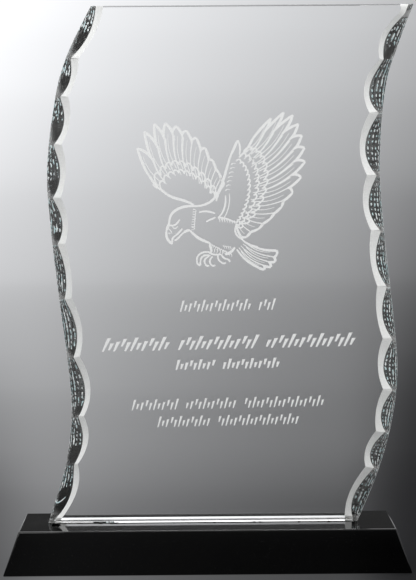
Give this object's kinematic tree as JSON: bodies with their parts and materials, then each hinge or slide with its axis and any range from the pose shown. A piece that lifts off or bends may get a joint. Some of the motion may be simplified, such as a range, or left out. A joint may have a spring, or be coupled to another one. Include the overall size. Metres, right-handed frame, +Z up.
{
  "type": "glass award",
  "caption": "Upright plate of clear glass with S-curved, chipped side edges and an engraved bird, bonded to a long black glass base with slanted ends.",
  "frame": {"origin": "middle of the base's underside, where the award stands", "axes": "+Z up, +X along the base towards the viewer's right, the engraved face towards -Y"},
  "size_m": [0.2305, 0.0508, 0.3162],
  "materials": {
    "clear_glass": "polished clear glass with chipped side edges and frosted engraving on the front",
    "black_glass": "polished opaque black glass"
  },
  "bodies": {
    "root": {"glass_plate": "clear_glass", "black_base": "black_glass"}
  },
  "joints": []
}
